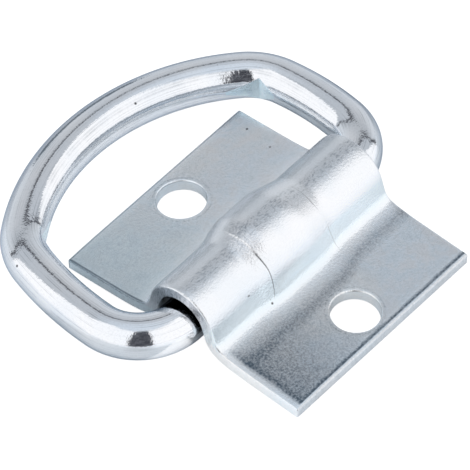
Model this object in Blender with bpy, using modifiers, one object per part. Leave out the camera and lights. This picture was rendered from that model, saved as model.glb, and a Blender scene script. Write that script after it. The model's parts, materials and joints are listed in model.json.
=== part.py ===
"""Bolt-on D ring tie-down: a pressed saddle plate and the bent round-bar ring that swings in it.

Frame: X runs across the plate, from the ring's bow to the front flange. Y runs along the
saddle and the ring's pin. Z is up from the surface that the plate is bolted to. The origin is
the middle of the base of the whole part, with the ring lying down behind the plate.
"""

import cmath
import math

import bmesh
import bpy
from mathutils import Vector

MM = 0.001

# Round bar of the ring
BAR_RADIUS = 4.0 * MM
END_BEND_INSIDE = 6.1 * MM               # inside radius where the pin turns into a leg
SHOULDER_INSIDE = 7.7 * MM               # inside radius where a leg turns into the bow
LEG_BOW = math.radians(16.0)             # a leg curves outwards by this much over its length
LEG_PAST_TIP = 2.3 * MM                  # the near leg ends this far beyond the flange's tip
NEAR_BEND_INSET = 1.05 * MM              # the pin starts to turn this far inside the saddle's mouth
FAR_BEND_INSET = 1.85 * MM
NEAR_END_TURN = math.radians(91.5)
FAR_END_TURN = math.radians(81.5)
NEAR_SHOULDER_TURN = math.radians(38.8)
FAR_SHOULDER_TURN = math.radians(38.1)
BAR_RESOLUTION = 7                       # of the bar's round section: 18 sides
BEND_STEP = math.radians(7.5)            # longest step along a bend
MAIN_BOW_STEP = math.radians(4.5)        # longest step along the wide bow

# Butt weld that closes the ring, hidden in the saddle
WELD_STEP = 0.6 * MM                     # the upset metal stands this far out of the bar
WELD_HALF_LENGTH = 2.2 * MM
WELD_STEPS = 4

# Tool marks pressed into the inside of both shoulders
NOTCH_DEPTH = 1.07 * MM
NOTCH_LONG = 4.9 * MM                    # facet towards the bow
NOTCH_SHORT = 2.5 * MM                   # facet towards the leg

# Sheet of the plate
SHEET = 2.3 * MM
PLATE_WIDTH = 44.5 * MM                  # along the saddle
TIP_REACH = 25.5 * MM                    # from the saddle's axis to the lower edge of a tip
FLANGE_SLOPE = math.radians(3.2)         # the flanges fall this much towards their tips
FOOT_RADIUS = 2.4 * MM                   # inside radius of the bend between flange and saddle
FOOT_FLARE = 0.3 * MM                    # the saddle's walls lean out by this much
ROLLED_EDGE = 0.6 * MM                   # the shear rolls the upper edges over
SHEARED_EDGE = 0.2 * MM                  # the lower edges stay nearly sharp
EDGE_SEGMENTS = 3

# Saddle over the pin
PIN_FLOOR_GAP = 0.3 * MM                 # under the weld
PIN_PLAY = 0.8 * MM                      # between the bar and the saddle's bore, all round
SADDLE_RISE = 0.85 * MM                  # the bore's centre above the pin's
SWELL_PLAY = 0.3 * MM                    # more room beside the weld than beside the bar
SWELL_RISE = 0.9 * MM                    # the swelling's centre above the saddle's
CROWN_NEAR_PLAY = 2.2 * MM               # full height this far beyond the weld's near end
CROWN_NEAR_RUN = 5.8 * MM                # from the full height down to the near crease
CROWN_FAR_RUN = 7.1 * MM                 # a longer slope, straight from the weld's far end
SIDE_NEAR_PLAY = 3.8 * MM                # full width beyond the weld's ends
SIDE_FAR_PLAY = 1.8 * MM
SIDE_NEAR_RUN = 5.6 * MM                 # from the full width in to the plain saddle
SIDE_FAR_RUN = 5.8 * MM
SWELL_LEAD = 0.12                        # share of a run that bends up out of the saddle
SWELL_TAIL = 0.3                         # share of a run that bends over at the full size
SWELL_STEPS = 7
CROWN_STEPS = 11
FOOT_STEPS = 6

# Bolt holes
HOLE_RADIUS = 4.5 * MM
HOLE_FROM_TIP = 6.25 * MM                # centre to the flange's tip
HOLE_ROLL = 0.6 * MM                     # rolled rim where the punch went in
HOLE_SEGMENTS = 40
CUT_MARGIN = 1.0 * MM                    # a cutter stands this far out of what it cuts

# Worked out from the sizes above
WELD_RADIUS = BAR_RADIUS + WELD_STEP
PIN_HEIGHT = WELD_RADIUS + PIN_FLOOR_GAP
BORE_RADIUS = BAR_RADIUS + PIN_PLAY
SADDLE_RADIUS = BORE_RADIUS + SHEET
SADDLE_CENTRE_HEIGHT = PIN_HEIGHT + SADDLE_RISE
SWELL_OUT = WELD_STEP + SWELL_PLAY
END_BEND = END_BEND_INSIDE + BAR_RADIUS
SHOULDER_BEND = SHOULDER_INSIDE + BAR_RADIUS
NEAR_PIN = PLATE_WIDTH / 2 - NEAR_BEND_INSET
FAR_PIN = PLATE_WIDTH / 2 - FAR_BEND_INSET
NEAR_LEG = TIP_REACH + LEG_PAST_TIP - END_BEND
HOLE_REACH = TIP_REACH - HOLE_FROM_TIP * math.cos(FLANGE_SLOPE)


def clear_scene():
    for old in list(bpy.data.objects):
        bpy.data.objects.remove(old, do_unlink=True)


def new_collection(name):
    collection = bpy.data.collections.new(name)
    bpy.context.scene.collection.children.link(collection)
    return collection


def metal(name, colour, roughness):
    """Bright zinc plating in one of its two finishes."""
    material = bpy.data.materials.new(name)
    material.use_nodes = True
    shader = material.node_tree.nodes["Principled BSDF"]
    shader.inputs["Base Color"].default_value = (*colour, 1.0)
    shader.inputs["Metallic"].default_value = 1.0
    shader.inputs["Roughness"].default_value = roughness
    material.diffuse_color = (*colour, 1.0)
    return material


def new_object(name, data, collection, material=None):
    thing = bpy.data.objects.new(name, data)
    collection.objects.link(thing)
    if material is not None:
        data.materials.clear()
        data.materials.append(material)
    return thing


def as_cutter(thing):
    thing.display_type = "WIRE"
    thing.hide_render = True
    return thing


def evaluated_mesh(thing):
    """The mesh of an object with its modifiers, as new data."""
    bpy.context.view_layer.update()
    graph = bpy.context.evaluated_depsgraph_get()
    return bpy.data.meshes.new_from_object(thing.evaluated_get(graph), depsgraph=graph)


def cut(thing, cutter):
    boolean = thing.modifiers.new("cut " + cutter.name, "BOOLEAN")
    boolean.operation = "DIFFERENCE"
    boolean.solver = "EXACT"
    boolean.object = cutter


class BentBar:
    """A bar's centreline as it is bent. A point's real part is its reach away from the pin
    towards the bow, and its imaginary part is its place along the pin."""

    def __init__(self, heading):
        self.points = [0j]
        self.heading = heading

    def straight(self, length, steps=1):
        start = self.points[-1]
        for step in range(1, steps + 1):
            self.points.append(start + self.heading * length * step / steps)

    def bend(self, radius, turn, longest_step=BEND_STEP):
        """Turns to the left by a positive angle, to the right by a negative one."""
        steps = math.ceil(abs(turn) / longest_step)
        outwards = -1j * self.heading * math.copysign(radius, turn)
        centre = self.points[-1] - outwards
        for step in range(1, steps + 1):
            self.points.append(centre + outwards * cmath.exp(1j * turn * step / steps))
        self.heading *= cmath.exp(1j * turn)
        return centre


def bend_half(side, pin, end_turn, leg, shoulder_turn):
    """One half of the ring, from the weld to the end of its shoulder. side is -1 for the near
    half and 1 for the far one. Gives the bar and the centre of its shoulder."""
    bar = BentBar(side * 1j)
    bar.straight(WELD_HALF_LENGTH, WELD_STEPS)
    bar.straight(pin - WELD_HALF_LENGTH)
    bar.bend(END_BEND, -side * end_turn)
    bar.bend(leg / LEG_BOW, -side * LEG_BOW)
    shoulder_centre = bar.bend(SHOULDER_BEND, -side * shoulder_turn)
    return bar, shoulder_centre


def closing_direction(near, far):
    """Direction of the straight line that a tangent arc spans between the two halves, and the
    angle through which that arc turns."""
    turn = cmath.phase(-far.heading / near.heading)
    return near.heading * cmath.exp(0.5j * turn), turn


def far_leg_length(near):
    """The far leg's length with which one round bow meets both shoulders in line. The far
    half's end moves in proportion to its leg, so two trial lengths give it."""
    def miss(leg):
        far, _ = bend_half(1, FAR_PIN, FAR_END_TURN, leg, FAR_SHOULDER_TURN)
        direction, _ = closing_direction(near, far)
        return ((far.points[-1] - near.points[-1]) / direction).imag

    short, long = 0.5 * NEAR_LEG, NEAR_LEG
    return short - miss(short) * (long - short) / (miss(long) - miss(short))


def bend_ring():
    """The ring's closed centreline, and the place of each tool mark."""
    near, near_centre = bend_half(-1, NEAR_PIN, NEAR_END_TURN, NEAR_LEG, NEAR_SHOULDER_TURN)
    far, far_centre = bend_half(
        1, FAR_PIN, FAR_END_TURN, far_leg_length(near), FAR_SHOULDER_TURN)
    marks = (shoulder_mark(near, near_centre, -1, NEAR_SHOULDER_TURN),
             shoulder_mark(far, far_centre, 1, FAR_SHOULDER_TURN))
    direction, turn = closing_direction(near, far)
    span = ((far.points[-1] - near.points[-1]) / direction).real
    near.bend(span / 2 / math.sin(turn / 2), turn, MAIN_BOW_STEP)
    return near.points[:-1] + far.points[:0:-1], marks


def shoulder_mark(bar, centre, side, turn):
    """The middle of a shoulder: its centre, the way outwards to the bar, and the way along the
    bar towards the bow."""
    outwards = (bar.points[-1] - centre) / SHOULDER_BEND * cmath.exp(0.5j * side * turn)
    towards_bow = bar.heading * cmath.exp(0.5j * side * turn)
    return centre, outwards, towards_bow


def ring_place(point, height=0.0):
    """A point of the ring's plane in the ring's own frame, whose origin is the pin's middle."""
    return Vector((-point.real, point.imag, height))


def bar_radius_at(point):
    """The bar's radius, with the weld's upset in the middle of the pin."""
    from_weld = abs(point) / WELD_HALF_LENGTH
    if from_weld >= 1.0:
        return BAR_RADIUS
    return BAR_RADIUS + WELD_STEP * math.cos(0.5 * math.pi * from_weld) ** 2


def notch_cutter(name, mark, collection):
    """A wedge across the inside of a shoulder. Its edge lies NOTCH_DEPTH inside the bar, and
    its two faces run out where the bar's inner line has curved away from it."""
    centre, outwards, towards_bow = mark
    edge = centre + outwards * (SHOULDER_INSIDE + NOTCH_DEPTH)

    def far_corner(run):
        on_inner_line = centre + outwards * math.sqrt(SHOULDER_INSIDE ** 2 - run ** 2) \
            + towards_bow * run
        return edge + (on_inner_line - edge) * (1.0 + CUT_MARGIN / abs(run))

    outline = bpy.data.curves.new(name, "CURVE")
    outline.dimensions = "2D"
    outline.fill_mode = "BOTH"
    outline.extrude = BAR_RADIUS + CUT_MARGIN
    spline = outline.splines.new("POLY")
    spline.use_cyclic_u = True
    spline.points.add(2)
    for point, place in zip(spline.points, (edge, far_corner(NOTCH_LONG), far_corner(-NOTCH_SHORT))):
        point.co = (*ring_place(place), 1.0)
    return as_cutter(as_mesh_object(new_object(name, outline, collection), collection))


def as_mesh_object(thing, collection, material=None):
    """Turns a curve object into a mesh object of the same name with its caps welded on."""
    name = thing.name
    mesh = evaluated_mesh(thing)
    place = thing.matrix_world.copy()
    bpy.data.objects.remove(thing, do_unlink=True)
    shape = bmesh.new()
    shape.from_mesh(mesh)
    bmesh.ops.remove_doubles(shape, verts=shape.verts, dist=1e-7)
    bmesh.ops.recalc_face_normals(shape, faces=shape.faces)
    shape.to_mesh(mesh)
    shape.free()
    solid = new_object(name, mesh, collection, material)
    solid.matrix_world = place
    return solid


def make_ring(collection, cutters, root):
    """The D ring: one round bar bent to shape and closed by a weld in the middle of its pin."""
    centreline, marks = bend_ring()
    curve = bpy.data.curves.new("d_ring", "CURVE")
    curve.dimensions = "3D"
    curve.twist_mode = "Z_UP"
    curve.fill_mode = "FULL"
    curve.bevel_depth = BAR_RADIUS
    curve.bevel_resolution = BAR_RESOLUTION
    spline = curve.splines.new("POLY")
    spline.use_cyclic_u = True
    spline.points.add(len(centreline) - 1)
    for point, place in zip(spline.points, centreline):
        point.co = (*ring_place(place), 1.0)
        point.radius = bar_radius_at(place) / BAR_RADIUS
    ring = as_mesh_object(
        new_object("d_ring", curve, collection), collection,
        metal("zinc_bar", (0.80, 0.83, 0.87), 0.16))
    ring.parent = root

    # The weld holds the pin up, so the ring leans down until its bow lies on the surface.
    reach = max(point.real for point in centreline)
    ring.rotation_euler.y = -math.asin((PIN_HEIGHT - BAR_RADIUS) / reach)
    ring.location.z = PIN_HEIGHT
    for name, mark in zip(("near_mark_cutter", "far_mark_cutter"), marks):
        cutter = notch_cutter(name, mark, cutters)
        cutter.parent = ring
        cut(ring, cutter)
    return ring


def swell_reach(near_play, near_run, far_play, far_run):
    """Where a swelling over the weld starts, is full from and to, and ends along the saddle."""
    near = -WELD_HALF_LENGTH - near_play
    far = WELD_HALF_LENGTH + far_play
    return near - near_run, near, far, far + far_run


def swelling(place, reach):
    """Share of a swelling at a place along the saddle. Each run is a straight slope with a
    short bend at its foot and a longer one at its top."""
    start, full, last_full, end = reach
    rising = (place - start) / (full - start)
    falling = (end - place) / (end - last_full)
    share = min(max(min(rising, falling), 0.0), 1.0)
    slope = 1.0 / (1.0 - 0.5 * (SWELL_LEAD + SWELL_TAIL))
    if share < SWELL_LEAD:
        return 0.5 * slope * share * share / SWELL_LEAD
    if share > 1.0 - SWELL_TAIL:
        return 1.0 - 0.5 * slope * (1.0 - share) ** 2 / SWELL_TAIL
    return slope * (share - 0.5 * SWELL_LEAD)


def half_section(crown_share, side_share):
    """Upper line of the plate's right half, from the crown to the tip, as (x, z) pairs: the
    crown's arc, a leaning wall, the foot's bend and the sloping flange. The shares are how much
    of the swelling the crown and the foot have."""
    slope_sin, slope_cos = math.sin(FLANGE_SLOPE), math.cos(FLANGE_SLOPE)
    tip = Vector((TIP_REACH + SHEET * slope_sin, SHEET * slope_cos))
    radius = SADDLE_RADIUS + SWELL_OUT * crown_share
    crown_centre = Vector((0.0, SADDLE_CENTRE_HEIGHT + SWELL_RISE * crown_share))
    foot_x = SADDLE_RADIUS + SWELL_OUT * side_share + FOOT_RADIUS + FOOT_FLARE
    foot_z = tip.y + (tip.x - foot_x) * slope_sin / slope_cos + FOOT_RADIUS / slope_cos
    foot_centre = Vector((foot_x, foot_z))

    # The wall is tangent to both arcs. Angles are taken from the vertical.
    between = foot_centre - crown_centre
    across = math.acos((radius + FOOT_RADIUS) / between.length)
    wall_angle = math.atan2(between.x, between.y) - across

    def facing(angle):
        return Vector((math.sin(angle), math.cos(angle)))

    line = [crown_centre + facing(wall_angle * step / CROWN_STEPS) * radius
            for step in range(CROWN_STEPS + 1)]
    for step in range(FOOT_STEPS + 1):
        angle = wall_angle + (FLANGE_SLOPE - wall_angle) * step / FOOT_STEPS
        line.append(foot_centre - facing(angle) * FOOT_RADIUS)
    line.append(tip)
    return line


def places_along_saddle(crown, side):
    """Where the plate's sections stand: its two ends and the slopes of the swelling."""
    near_start, near_end = min(crown[0], side[0]), max(crown[1], side[1])
    far_start, far_end = min(crown[2], side[2]), max(crown[3], side[3])
    steps = [step / SWELL_STEPS for step in range(SWELL_STEPS + 1)]
    near = [near_start + (near_end - near_start) * step for step in steps]
    far = [far_start + (far_end - far_start) * step for step in steps]
    return [-PLATE_WIDTH / 2, *near, *far, PLATE_WIDTH / 2]


def folded_sheet(collection):
    """The plate's sheet, without its holes: a flat blank folded over the saddle's sections,
    mirrored, and given its thickness on the lower side."""
    crown = swell_reach(CROWN_NEAR_PLAY, CROWN_NEAR_RUN, 0.0, CROWN_FAR_RUN)
    side = swell_reach(SIDE_NEAR_PLAY, SIDE_NEAR_RUN, SIDE_FAR_PLAY, SIDE_FAR_RUN)
    places = places_along_saddle(crown, side)
    sections = [half_section(swelling(place, crown), swelling(place, side))
                for place in places]
    columns = len(sections[0])
    blank = bmesh.new()
    bmesh.ops.create_grid(
        blank, x_segments=columns - 1, y_segments=len(places) - 1, size=0.5)
    for vert in blank.verts:
        column = round((vert.co.x + 0.5) * (columns - 1))
        row = round((vert.co.y + 0.5) * (len(places) - 1))
        point = sections[row][column]
        vert.co = (point.x, places[row], point.y)
    mesh = bpy.data.meshes.new("sheet")
    blank.to_mesh(mesh)
    blank.free()
    sheet = new_object("sheet", mesh, collection)
    mirror = sheet.modifiers.new("left half", "MIRROR")
    mirror.merge_threshold = 0.00001
    wall = sheet.modifiers.new("thickness", "SOLIDIFY")
    wall.thickness = SHEET
    wall.offset = -1.0
    wall.use_even_offset = True
    folded = evaluated_mesh(sheet)
    bpy.data.objects.remove(sheet, do_unlink=True)
    return folded


def weigh_edges(mesh):
    """Gives each sheared edge its share of the bevel: all of it on the upper side and at the
    corners, less on the lower side. The upper skin has the first half of the vertices."""
    shape = bmesh.new()
    shape.from_mesh(mesh)
    shape.verts.index_update()
    weight = shape.edges.layers.float.new("bevel_weight_edge")
    upper_count = len(shape.verts) // 2
    right_angle = math.radians(60.0)
    for edge in shape.edges:
        if edge.calc_face_angle(0.0) < right_angle:
            continue
        lower = all(vert.index >= upper_count for vert in edge.verts)
        edge[weight] = SHEARED_EDGE / ROLLED_EDGE if lower else 1.0
    shape.to_mesh(mesh)
    shape.free()


def hole_cutter(name, side, collection, root):
    """A turned punch whose shoulder rolls the hole's upper rim over."""
    profile = bmesh.new()
    turns = 4
    outline = [(0.0, CUT_MARGIN), (HOLE_RADIUS + HOLE_ROLL, CUT_MARGIN)]
    for step in range(turns + 1):
        angle = 0.5 * math.pi * step / turns
        outline.append((HOLE_RADIUS + HOLE_ROLL * (1.0 - math.sin(angle)),
                        -HOLE_ROLL * (1.0 - math.cos(angle))))
    outline += [(HOLE_RADIUS, -SHEET - CUT_MARGIN), (0.0, -SHEET - CUT_MARGIN)]
    verts = [profile.verts.new((radius, 0.0, height)) for radius, height in outline]
    for first, second in zip(verts, verts[1:]):
        profile.edges.new((first, second))
    mesh = bpy.data.meshes.new(name)
    profile.to_mesh(mesh)
    profile.free()
    cutter = as_cutter(new_object(name, mesh, collection))
    turned = cutter.modifiers.new("turned", "SCREW")
    turned.steps = HOLE_SEGMENTS
    turned.render_steps = HOLE_SEGMENTS
    turned.use_merge_vertices = True
    turned.merge_threshold = 0.00001
    cutter.parent = root
    rise = (TIP_REACH - HOLE_REACH) * math.tan(FLANGE_SLOPE)
    upper = Vector((side * math.sin(FLANGE_SLOPE), 0.0, math.cos(FLANGE_SLOPE))) * SHEET
    cutter.location = Vector((side * HOLE_REACH, 0.0, rise)) + upper
    cutter.rotation_euler.y = side * FLANGE_SLOPE
    return cutter


def make_bracket(collection, cutters, root):
    """The saddle plate: one piece of sheet pressed over the pin, with a bolt hole each side."""
    mesh = folded_sheet(collection)
    mesh.name = "bracket"
    weigh_edges(mesh)
    bracket = new_object(
        "bracket", mesh, collection, metal("zinc_sheet", (0.66, 0.70, 0.75), 0.34))
    bracket.parent = root
    rounded = bracket.modifiers.new("sheared edges", "BEVEL")
    rounded.limit_method = "WEIGHT"
    rounded.width = ROLLED_EDGE
    rounded.segments = EDGE_SEGMENTS
    for side, name in ((1, "front_hole_cutter"), (-1, "back_hole_cutter")):
        cut(bracket, hole_cutter(name, side, cutters, root))
    return bracket


def shade(thing):
    """Smooth over the bends, with creases where the faces turn sharply."""
    thing.data.shade_smooth()
    thing.data.set_sharp_from_angle(angle=math.radians(35.0))


def stand_on_origin(root, things):
    """Moves the whole part so that the origin is the middle of its base."""
    corners = []
    for thing in things:
        mesh = evaluated_mesh(thing)
        corners += [thing.matrix_world @ vert.co for vert in mesh.vertices]
        bpy.data.meshes.remove(mesh)
    low = Vector(min(corner[axis] for corner in corners) for axis in range(3))
    high = Vector(max(corner[axis] for corner in corners) for axis in range(3))
    root.location -= Vector(((low.x + high.x) / 2, (low.y + high.y) / 2, low.z))


def main():
    clear_scene()
    collection = new_collection("bolt_on_d_ring")
    cutters = new_collection("cutters")
    root = new_object("saddle_axis", None, collection)
    bracket = make_bracket(collection, cutters, root)
    ring = make_ring(collection, cutters, root)
    for thing in (bracket, ring):
        shade(thing)
    stand_on_origin(root, (bracket, ring))


main()
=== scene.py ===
import json
import math

import bmesh
import bpy
from bpy.props import FloatProperty, FloatVectorProperty, PointerProperty
from bpy.types import Operator, Panel, PropertyGroup
from mathutils import Matrix, Vector, noise


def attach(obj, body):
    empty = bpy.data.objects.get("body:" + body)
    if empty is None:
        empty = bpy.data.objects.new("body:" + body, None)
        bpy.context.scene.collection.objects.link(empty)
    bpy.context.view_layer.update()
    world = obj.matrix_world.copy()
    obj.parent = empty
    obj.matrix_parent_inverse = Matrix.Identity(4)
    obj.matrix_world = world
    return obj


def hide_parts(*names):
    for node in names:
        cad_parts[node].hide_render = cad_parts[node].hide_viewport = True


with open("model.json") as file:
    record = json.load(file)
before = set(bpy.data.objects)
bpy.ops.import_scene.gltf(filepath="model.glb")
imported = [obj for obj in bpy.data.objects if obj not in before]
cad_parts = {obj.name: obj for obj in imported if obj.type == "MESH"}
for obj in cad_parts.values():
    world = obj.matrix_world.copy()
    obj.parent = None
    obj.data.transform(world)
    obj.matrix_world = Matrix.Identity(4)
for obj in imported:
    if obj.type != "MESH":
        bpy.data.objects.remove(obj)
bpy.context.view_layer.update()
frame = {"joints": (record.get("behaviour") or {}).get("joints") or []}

bl_info = {
    "name": "Bolt-on D ring tie-down",
    "version": (1, 0, 0),
    "blender": (4, 5, 0),
    "location": "3D View > Sidebar > D ring",
    "description": "Zinc plated saddle plate with the bent D ring that swings in it",
    "category": "Object",
}

HINGE = Vector(frame["joints"][0]["pos_m"])
MM = 0.001
UP = Vector((0.0, 0.0, 1.0))


def mm(*values):
    return tuple(value * MM for value in values)


def degrees(*values):
    return tuple(math.radians(value) for value in values)


# Fineness of the meshes
BAR_SIDES = 72
BEND_STEP = math.radians(2.0)
WELD_ROWS = 8
CROWN_COLUMNS = 34
WALL_COLUMNS = 6
FOOT_COLUMNS = 14
FLANGE_COLUMNS = 32
ROW_STEP = 0.45 * MM
CREASE_ROW = 0.09 * MM
CREASE_ZONES = (mm(-8.3, -6.6), mm(6.7, 8.4))
EDGE_ROW = 0.25 * MM
EDGE_ZONE = 2.25 * MM
END_ROW = 0.75 * MM
ROLL_SEGMENTS = 8
HOLE_SIDES = 96
HOLE_ROLL_TURNS = 8
MERGE_DISTANCE = 0.001 * MM
SMOOTH_BELOW = math.radians(30.0)
CUT_EDGE_ABOVE = math.radians(60.0)

# Small allowances of the tooling
CUT_MARGIN = 1.0 * MM
PUNCH_SINK = 0.02 * MM
PIN_FLOOR_GAP = 0.3 * MM
PIN_PLAY = 0.8 * MM
SADDLE_RISE = 0.85 * MM
SWELL_PLAY = 0.3 * MM
SIDE_SHARE = 0.8
FOOT_FLARE = 0.3 * MM

# The swelling along the saddle: where it starts, is full, stops being full and ends
CROWN_SWELL = mm(-10.2, -4.4, 1.5, 9.3)
SIDE_SWELL = mm(-12.0, -5.6, 3.0, 10.2)
SWELL_LEAD = 0.12
SWELL_TAIL = 0.3

# The creases' paths across the saddle, by the turn from the crown: place on the crown, lean, and
# how far the end hooks back past HOOK_START
NEAR_CREASE = mm(-7.6, 0.25, -4.0)
FAR_CREASE = mm(7.25, 0.38, -1.0)
HOOK_START = 1.1
CREASE_WIDTH = 0.11 * MM
CREASE_FADE = 0.9 * MM
CREASE_WAVE = 0.07 * MM
CREASE_WAVES = 9.0
FAR_CREASE_SHARE = 0.3

# How far pressing, blanking and punching move the sheet, and how far from an edge they reach
DROOP_REACH = 1.9 * MM
END_DROOP_REACH = 9.0 * MM
HOLE_DROOP = 0.07 * MM
HOLE_DROOP_REACH = 1.3 * MM
RIPPLE = 0.006 * MM
SWELL_RIPPLE = 0.012 * MM
RIPPLE_SCALE = 700.0


def length(name, description, millimetres):
    return FloatProperty(
        name=name, description=description, default=millimetres * MM, min=0.0,
        precision=5, subtype="DISTANCE", unit="LENGTH")


def angle(name, description, turn):
    return FloatProperty(
        name=name, description=description, default=math.radians(turn),
        subtype="ANGLE", unit="ROTATION")


def colour(name, description, red, green, blue):
    return FloatVectorProperty(
        name=name, description=description, default=(red, green, blue), min=0.0, max=1.0,
        size=3, subtype="COLOR")


class DRING_PG_ring(PropertyGroup):
    bar_radius: length("Bar radius", "Half the thickness of the round bar", 4.0)
    end_bend: length("End bend", "Inside radius between the pin and a leg", 6.1)
    shoulder: length("Shoulder", "Inside radius between a leg and the bow", 7.7)
    leg_bow: angle("Leg bow", "Outward curve of a leg over its length", 16.0)
    near_leg: length("Near leg", "Length of the near leg between its bends", 17.7)
    near_pin: length("Near pin", "From the weld to the near end bend", 21.2)
    far_pin: length("Far pin", "From the weld to the far end bend", 20.4)
    near_end_turn: angle("Near end turn", "Turn of the near end bend", 91.5)
    far_end_turn: angle("Far end turn", "Turn of the far end bend", 81.5)
    near_shoulder_turn: angle("Near shoulder turn", "Turn of the near shoulder", 38.8)
    far_shoulder_turn: angle("Far shoulder turn", "Turn of the far shoulder", 38.1)
    weld_step: length("Weld step", "Height of the weld over the bar", 0.6)
    weld_half: length("Half weld", "Half the length of the weld's upset", 2.2)
    mark_depth: length("Mark depth", "Depth of the tool mark in a shoulder", 0.97)
    mark_long: length("Long facet", "The mark's facet towards the bow", 4.4)
    mark_short: length("Short facet", "The mark's facet towards the leg", 3.0)


class DRING_PG_plate(PropertyGroup):
    sheet: length("Sheet", "Thickness of the sheet", 2.3)
    width: length("Width", "Width of the plate along the saddle", 44.5)
    tip_reach: length("Tip reach", "From the saddle's axis to a flange's tip", 25.5)
    slope: angle("Flange slope", "Fall of the flanges towards their tips", 3.2)
    foot_radius: length("Foot radius", "Inside radius of the bend at the foot", 2.4)
    rolled: length("Rolled edge", "Radius of the upper, rolled edges", 0.6)
    sheared: length("Sheared edge", "Radius of the lower, sheared edges", 0.2)
    foot_ease: angle("Foot easing", "Fall that the foot adds to the flange's slope", 15.0)
    ease_run: length("Easing run", "Reach of the foot's easing", 1.8)
    swell_rise: length("Swelling rise", "Rise of the swelling's centre", 0.9)
    crease_step: length("Crease step", "Height of the step at the near crease", 0.10)
    edge_droop: length("Edge droop", "Fall of the sheet's edges", 0.16)
    end_droop: length("End droop", "Fall of the flanges' near end", 0.2)
    hole_radius: length("Hole radius", "Half the width of a bolt hole", 4.35)
    hole_from_tip: length("Hole from tip", "From a flange's tip to its hole's centre", 6.25)
    hole_roll: length("Hole roll", "Radius of the hole's rolled rim", 0.4)


class DRING_PG_finish(PropertyGroup):
    bar: colour("Bar", "Zinc on the round bar", 0.91, 0.92, 0.94)
    bar_shade: colour("Bar shade", "Second tone of the zinc on the bar", 0.85, 0.88, 0.92)
    plate: colour("Plate", "Zinc on the sheet", 0.90, 0.91, 0.93)
    plate_shade: colour("Plate shade", "Second tone of the zinc on the sheet", 0.83, 0.87, 0.91)
    plate_blue: colour("Plate blue", "Bluish tone of the flanges' zinc", 0.86, 0.93, 0.99)
    plate_warm: colour("Plate warm", "Warm clouds in the flanges' zinc", 0.93, 0.90, 0.86)
    # Besides dulled zinc, this colour paints the shade and dark reflections on the plate
    dull_and_shade: colour("Plate dark", "Zinc that the press has dulled", 0.10, 0.14, 0.18)
    # This colour also paints a pale blue reflection on the saddle's walls
    mark: colour("Tool mark", "Matt, bluish zinc in the tool marks", 0.82, 0.95, 1.0)
    # Besides small marks, this colour paints the shade in the creases, inside the saddle and on
    # the floor under it
    speck_and_shade: colour("Speck", "Small dark marks in the zinc", 0.10, 0.10, 0.11)
    rust: colour("Rust", "Fine line of rust over the far bend", 0.42, 0.27, 0.23)
    floor: colour("Floor", "The pale floor", 0.30, 0.30, 0.30)


def ring_sizes():
    return bpy.context.scene.dring_ring


def plate_sizes():
    return bpy.context.scene.dring_plate


def finish_colours():
    return bpy.context.scene.dring_finish


def pin_height():
    bar = ring_sizes()
    return bar.bar_radius + bar.weld_step + PIN_FLOOR_GAP


def saddle_root():
    """The point of the bolting surface under the saddle's axis."""
    return HINGE - UP * pin_height()


# Meshes

def new_piece(name, shape, material):
    """Turns a bmesh into an object of one material."""
    mesh = bpy.data.meshes.new(name)
    shape.to_mesh(mesh)
    shape.free()
    mesh.materials.append(material)
    piece = bpy.data.objects.new(name, mesh)
    bpy.context.scene.collection.objects.link(piece)
    return piece


def modify(piece, kind, **settings):
    """Puts the result of a modifier in the place of a piece's mesh."""
    modifier = piece.modifiers.new(kind, kind)
    for name, value in settings.items():
        setattr(modifier, name, value)
    bpy.context.view_layer.update()
    graph = bpy.context.evaluated_depsgraph_get()
    mesh = bpy.data.meshes.new_from_object(piece.evaluated_get(graph), depsgraph=graph)
    piece.modifiers.clear()
    piece.data = mesh


def cut(piece, cutter):
    """Takes a cutter out of a piece and deletes it. The cut keeps the cutter's material."""
    modify(piece, "BOOLEAN", operation="DIFFERENCE", solver="EXACT", material_mode="TRANSFER",
           object=cutter)
    bpy.data.objects.remove(cutter, do_unlink=True)


def clean(shape):
    bmesh.ops.remove_doubles(shape, verts=shape.verts, dist=MERGE_DISTANCE)
    bmesh.ops.recalc_face_normals(shape, faces=shape.faces)


def shade(piece):
    piece.data.shade_smooth()
    piece.data.set_sharp_from_angle(angle=SMOOTH_BELOW)


def new_verts(grown):
    """The vertices among what an extrusion has made."""
    return [part for part in grown["geom"] if isinstance(part, bmesh.types.BMVert)]


class RoundBar:
    """A round bar that grows from its last section in the plane of the ring, turning right."""

    def __init__(self, radius, heading):
        self.mesh = bmesh.new()
        self.place = Vector()
        self.heading = Vector(heading)
        self.radius = radius
        across = self.heading.to_track_quat("Z", "Y").to_matrix().to_4x4()
        bmesh.ops.create_circle(self.mesh, segments=BAR_SIDES, radius=radius, matrix=across)
        around = self.mesh.verts.layers.float_vector.new("around")
        for vert in self.mesh.verts:
            vert[around] = across.inverted() @ vert.co
        self.rim = list(self.mesh.edges)

    def straight(self, distance, radius):
        grown = bmesh.ops.extrude_edge_only(self.mesh, edges=self.rim)
        verts = set(new_verts(grown))
        self.rim = list({edge for vert in verts for edge in vert.link_edges
                         if edge.other_vert(vert) in verts})
        bmesh.ops.scale(
            self.mesh, verts=list(verts), vec=[radius / self.radius] * 3,
            space=Matrix.Translation(-self.place))
        bmesh.ops.translate(self.mesh, verts=list(verts), vec=self.heading * distance)
        self.place += self.heading * distance
        self.radius = radius

    def bend(self, radius, turn):
        """Bends the bar and gives the centre of the bend."""
        centre = self.place + self.heading.cross(UP) * radius
        rim_verts = list({vert for edge in self.rim for vert in edge.verts})
        spun = bmesh.ops.spin(
            self.mesh, geom=self.rim + rim_verts, cent=centre, axis=-UP, angle=turn,
            steps=math.ceil(turn / BEND_STEP), use_merge=False, use_duplicate=False)
        self.rim = [part for part in spun["geom_last"] if isinstance(part, bmesh.types.BMEdge)]
        turned = Matrix.Rotation(-turn, 3, UP)
        self.place = centre + turned @ (self.place - centre)
        self.heading = turned @ self.heading
        return centre


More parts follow.
